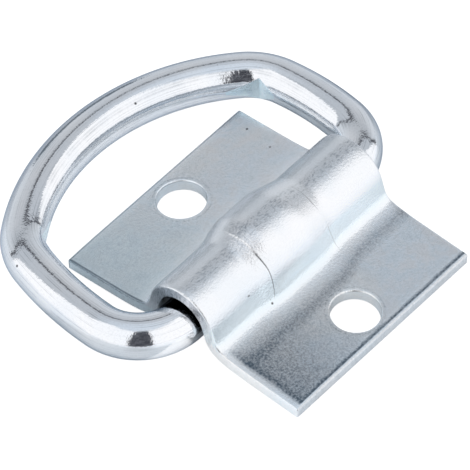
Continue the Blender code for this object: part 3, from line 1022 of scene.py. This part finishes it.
def zinc_plate():
    """Grained zinc of the pressed sheet: satin on the flanges, darker along the shear lines, with
    painted dark reflections on the front flange, the back flange's rolled edges and the crown, and
    painted shade on the front tip's face, in the creases and inside the saddle."""
    colours = finish_colours()
    maker = MaterialMaker("zinc_plate_grained")
    at = PlateGuide(maker)
    cloud = maker.noise(*PLATE_CLOUD)
    darkening = front_painted_reflections(at) + back_darkening(at) + arch_darkening(at) + cut_darkening(at)
    darkening = darkening + at.flange.span(*SPECKLE_DULL) * at.speckle
    darkening = darkening + PATCH_DULL * at.flange * at.mottle.ramp(*DULL_PATCHES)
    # Specks and spots, with the painted shade of the crease lines
    marks = (PLATE_SPECK_TONE * maker.specks()).larger(CREASE_SHADE_TONE * crease_shade_lines(at))
    for spot in PLATE_SPOTS:
        marks = marks.larger(maker.spot(*spot))
    # Over the zinc: its darkening, partly painted shade and dark reflections, the specks with the
    # painted crease shade, and the painted shade inside the bore
    tone = maker.layers(
        plate_tone(at, cloud), (darkening.clamped(), colours.dull_and_shade), (marks, colours.speck_and_shade),
        (BORE_TONE * bore_shade(at), colours.speck_and_shade))
    even, clouded, satin = PLATE_ROUGHNESS
    return maker.finish(
        Base_Color=tone, Metallic=1.0, Roughness=even + clouded * cloud + satin * at.flange,
        Normal=maker.bump(at.grain * at.flange.span(*FLANGE_RELIEF), PLATE_BUMP))


# Studio: the camera
VIEW_AZIMUTH = math.radians(41.735)
VIEW_ELEVATION = math.radians(49.241)
VIEW_ROLL = math.radians(-1.266)
VIEW_AIM = Vector(mm(3.832, -1.564, 5.0))
VIEW_DISTANCE = 1.07719
VIEW_LENS = 488.16

# The light tent: bearings from the camera's, to the right, and sines of heights
LEFT_WALL = (*degrees(-100.0, -15.0), 0.04)
RIGHT_WALL = (*degrees(13.0, 122.0), 0.04)
WALL_TOP = (math.sin(math.radians(70.0)), math.sin(math.radians(77.0)))
SLIT = (*degrees(-15.5, 13.0), 0.03)
SLIT_RAGGED = 0.3
SLIT_EDGE_NOISE = (22.0, 4.0, 0.8)
SLIT_NOISE = (26.0, 3.0, 0.8)
SLIT_PATCHES = (0.38, 0.5)
SLIT_DEPTH = (0.45, 1.0)
BACK_AXIS = Vector((-0.7778, 0.6271, -0.0422))
BACK_RIM = 0.432
BACK_FADE = (-0.01, 0.01)
RIM_DROP = 0.16
RIM_DROP_HEIGHTS = (0.42, 0.75)
SEAM = (-0.021, 0.021, 0.012)
SEAM_HEIGHTS = (-0.1, 0.1)
SEAM_NOISE = (55.0, 4.0, 0.8)
SEAM_PATCHES = (0.4, 0.5)
SEAM_DEPTH = (0.7, 1.0)
SEAM_TONE = 0.95
NEAR_RIM = (0.07, 0.29)
NEAR_RIM_HEIGHTS = (0.3, 0.7)
BACK_HEIGHTS = (0.1, 0.6)
ROOF_HEIGHTS = (0.86, 0.985)
BACK_STRIP = (*degrees(-168.0, -153.0), 0.03)
STRIP_HEIGHTS = (-0.05, 0.2, 0.06)
WHITE_WALL = (1.08, 1.08, 1.09)
BACK_HIGH = (0.58, 0.60, 0.63)
BACK_LOW = (0.72, 0.755, 0.79)
BACK_EDGE = (0.36, 0.39, 0.42)
STRIP = (0.17, 0.20, 0.23)
ROOF_LOW = (0.54, 0.57, 0.61)
ROOF = (0.70, 0.76, 0.83)
DARK = (0.035, 0.035, 0.045)

# The floor that the camera sees, and the table that the metal reflects in its place
STAGE_HALF = 3.0
FLOOR_DEPTH = 0.2 * MM
TABLE_DEPTH = 0.3 * MM
FLOOR_SHADE_X = mm(-9.5, -6.8, 0.4)
FLOOR_SHADE_Y = mm(-20.0, 20.0, 0.4)
FLOOR_GLOW = 0.95
BLACK = (0.0, 0.0, 0.0)
WHITE = (1.0, 1.0, 1.0)
TABLE = (0.94, 0.98, 1.0)
TABLE_FAR = (0.50, 0.54, 0.58)
TABLE_GLOW = (0.22, 0.22, 0.23)
TABLE_LIGHT = (0.35, 0.33, 0.31)
TABLE_LIGHT_X = mm(10.0, 40.0, 2.0)
TABLE_LIGHT_Y = mm(-30.0, -22.5, 1.0)
TABLE_GLOW_RIGHT = mm(25.0, 45.0)
TABLE_GLOW_LEFT = mm(-12.0, -16.0)
LEFT_GLOW_SHARE = 0.6
TABLE_DIM = mm(36.0, 46.0)
TABLE_DIM_X = mm(12.0, -8.0)
TABLE_DIM_Y = mm(-30.0, -14.0)
TABLE_ROUGHNESS = 0.35


def pale_floor():
    """White glowing floor, with a painted shadow inside the saddle."""
    colours = finish_colours()
    maker = MaterialMaker("pale_floor")
    root = saddle_root()
    x, y, _ = maker.parts()
    shaded = (x - root.x).inside(*FLOOR_SHADE_X) * (y - root.y).inside(*FLOOR_SHADE_Y)
    return maker.finish(
        Base_Color=maker.layers(colours.floor, (shaded, colours.speck_and_shade)), Roughness=1.0,
        Emission_Color=maker.layers(WHITE, (shaded, BLACK)), Emission_Strength=FLOOR_GLOW)


def table_top():
    """What the metal reflects from below: bright close by, painted darker behind and to the left,
    with a painted glow on both sides and a painted pool of light in front."""
    maker = MaterialMaker("table_top")
    x, y, _ = maker.parts()
    sides = x.ramp(*TABLE_GLOW_RIGHT).larger(LEFT_GLOW_SHARE * x.ramp(*TABLE_GLOW_LEFT))
    lit = x.inside(*TABLE_LIGHT_X) * y.inside(*TABLE_LIGHT_Y)
    dim = x.diagonal(y).ramp(*TABLE_DIM) * x.ramp(*TABLE_DIM_X) * y.ramp(*TABLE_DIM_Y)
    return maker.finish(
        Base_Color=maker.layers(TABLE, (dim, TABLE_FAR)), Roughness=TABLE_ROUGHNESS,
        Emission_Color=maker.layers(BLACK, (sides, TABLE_GLOW), (lit, TABLE_LIGHT)),
        Emission_Strength=1.0)


def place_camera():
    camera = bpy.data.objects.new("camera", bpy.data.cameras.new("camera"))
    bpy.context.scene.collection.objects.link(camera)
    camera.data.lens = VIEW_LENS
    turned = (Matrix.Rotation(VIEW_AZIMUTH, 4, "Z")
              @ Matrix.Rotation(0.5 * math.pi - VIEW_ELEVATION, 4, "X")
              @ Matrix.Rotation(VIEW_ROLL, 4, "Z"))
    away = Matrix.Translation(UP * VIEW_DISTANCE)
    camera.matrix_world = Matrix.Translation(VIEW_AIM) @ turned @ away
    bpy.context.scene.camera = camera


def light_tent():
    """The room seen from the object: two white walls with a dark slit between them for the
    camera, a greyer back with a dark seam round it, and a pale roof."""
    world = bpy.data.worlds.new("light_tent")
    world.use_nodes = True
    maker = NodeMaker(world.node_tree, "Generated")
    x, y, height = maker.parts()
    forth = x * math.sin(VIEW_AZIMUTH) - y * math.cos(VIEW_AZIMUTH)
    aside = x * math.cos(VIEW_AZIMUTH) + y * math.sin(VIEW_AZIMUTH)
    bearing = aside.bearing(forth)
    below_top = 1.0 - height.ramp(*WALL_TOP)
    walls = (bearing.inside(*LEFT_WALL) + bearing.inside(*RIGHT_WALL)).clamped() * below_top
    ragged = bearing + SLIT_RAGGED * (maker.noise(*SLIT_EDGE_NOISE) - 0.5)
    slit = ragged.inside(*SLIT) * below_top
    slit = slit * maker.noise(*SLIT_NOISE).ramp(*SLIT_PATCHES).span(*SLIT_DEPTH)

    past_rim = x * BACK_AXIS.x + y * BACK_AXIS.y + height * BACK_AXIS.z - BACK_RIM
    behind = past_rim - RIM_DROP * height.ramp(*RIM_DROP_HEIGHTS)
    ahead = 1.0 - behind.ramp(*BACK_FADE)
    seam = behind.inside(*SEAM) * height.ramp(*SEAM_HEIGHTS)
    seam = seam * maker.noise(*SEAM_NOISE).ramp(*SEAM_PATCHES).span(*SEAM_DEPTH)
    near_rim = 1.0 - past_rim.ramp(*NEAR_RIM)
    strip = bearing.inside(*BACK_STRIP) * height.inside(*STRIP_HEIGHTS)

    tone = maker.layers(
        BACK_LOW, (height.ramp(*BACK_HEIGHTS), BACK_HIGH),
        (near_rim * height.ramp(*NEAR_RIM_HEIGHTS), BACK_EDGE), (strip, STRIP),
        (ahead, maker.layers(ROOF_LOW, (height.ramp(*ROOF_HEIGHTS), ROOF))),
        (walls * ahead, WHITE_WALL), (slit * ahead, DARK), (SEAM_TONE * seam, DARK))
    maker.feed(world.node_tree.nodes["Background"].inputs["Color"], tone)
    return world


def stage_plane(name, material, depth):
    shape = bmesh.new()
    bmesh.ops.create_grid(shape, x_segments=1, y_segments=1, size=STAGE_HALF)
    bmesh.ops.translate(shape, verts=shape.verts, vec=-UP * depth)
    plane = new_piece(name, shape, material)
    return plane


class DRING_OT_ring(Operator):
    """Bend the round bar into its closed D and press the tool marks into its shoulders"""

    bl_idname = "dring.bend_ring"
    bl_label = "Bend the ring"

    def execute(self, context):
        sizes = ring_sizes()
        shape, marks = bent_bar(sizes)
        reach = -min(vert.co.x for vert in shape.verts) - sizes.bar_radius
        lean = math.asin((sizes.weld_step + PIN_FLOOR_GAP) / reach)
        place = Matrix.Translation(HINGE) @ Matrix.Rotation(-lean, 4, "Y")
        bmesh.ops.transform(shape, matrix=place, verts=shape.verts)
        ring = new_piece("ring_bar", shape, zinc_bar())
        matt = tool_mark()
        for mark in marks:
            wedge = mark_cutter(sizes, mark)
            bmesh.ops.transform(wedge, matrix=place, verts=wedge.verts)
            cut(ring, new_piece("mark_wedge", wedge, matt))
        shade(ring)
        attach(ring, "ring")
        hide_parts("d_ring")
        return {"FINISHED"}


class DRING_OT_plate(Operator):
    """Press the saddle plate from its sheet, roll its edges and punch both bolt holes"""

    bl_idname = "dring.press_plate"
    bl_label = "Press the plate"

    def execute(self, context):
        sizes = plate_sizes()
        material = zinc_plate()
        skin = folded_sheet(sizes)
        skin.normal_update()
        moves = [vert.normal * pressed_height(sizes, vert.co) for vert in skin.verts]
        plate = new_piece("saddle_plate", skin, material)
        modify(plate, "SOLIDIFY", thickness=sizes.sheet, offset=-1.0, use_even_offset=True)
        # The upper skin's vertices come first, so the lower skin stays as it is
        for vert, move in zip(plate.data.vertices, moves):
            vert.co += move
        weigh_edges(plate.data, sizes)
        modify(plate, "BEVEL", affect="EDGES", limit_method="WEIGHT", width=sizes.rolled,
               segments=ROLL_SEGMENTS, profile=0.5, material=-1)
        for side in (1, -1):
            cut(plate, new_piece("punch", hole_punch(sizes, side), material))
        plate.data.transform(Matrix.Translation(saddle_root()))
        shade(plate)
        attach(plate, "bracket")
        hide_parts("bracket")
        return {"FINISHED"}


class DRING_OT_stage(Operator):
    """Lay the pale floor, put up the light tent and set up the camera"""

    bl_idname = "dring.set_stage"
    bl_label = "Set the stage"

    def execute(self, context):
        floor = stage_plane("floor", pale_floor(), FLOOR_DEPTH)
        floor.visible_glossy = False
        floor.visible_diffuse = False
        table = stage_plane("table", table_top(), TABLE_DEPTH)
        table.visible_camera = False
        context.scene.world = light_tent()
        context.scene.view_settings.view_transform = "Standard"
        place_camera()
        return {"FINISHED"}


class DRING_PT_sidebar(Panel):
    bl_idname = "DRING_PT_sidebar"
    bl_label = "D ring tie-down"
    bl_space_type = "VIEW_3D"
    bl_region_type = "UI"
    bl_category = "D ring"

    def draw(self, context):
        for operator in OPERATORS:
            self.layout.operator(operator.bl_idname)
        for group in (ring_sizes(), plate_sizes(), finish_colours()):
            box = self.layout.box()
            for name in group.__annotations__:
                box.prop(group, name)


GROUPS = {"dring_ring": DRING_PG_ring, "dring_plate": DRING_PG_plate,
          "dring_finish": DRING_PG_finish}
OPERATORS = (DRING_OT_ring, DRING_OT_plate, DRING_OT_stage)
CLASSES = (*GROUPS.values(), *OPERATORS, DRING_PT_sidebar)


def register():
    for made in CLASSES:
        bpy.utils.register_class(made)
    for name, group in GROUPS.items():
        setattr(bpy.types.Scene, name, PointerProperty(type=group))


def unregister():
    for name in GROUPS:
        delattr(bpy.types.Scene, name)
    for made in reversed(CLASSES):
        bpy.utils.unregister_class(made)


def main():
    register()
    bpy.ops.dring.bend_ring()
    bpy.ops.dring.press_plate()
    bpy.ops.dring.set_stage()


if __name__ == "__main__":
    main()
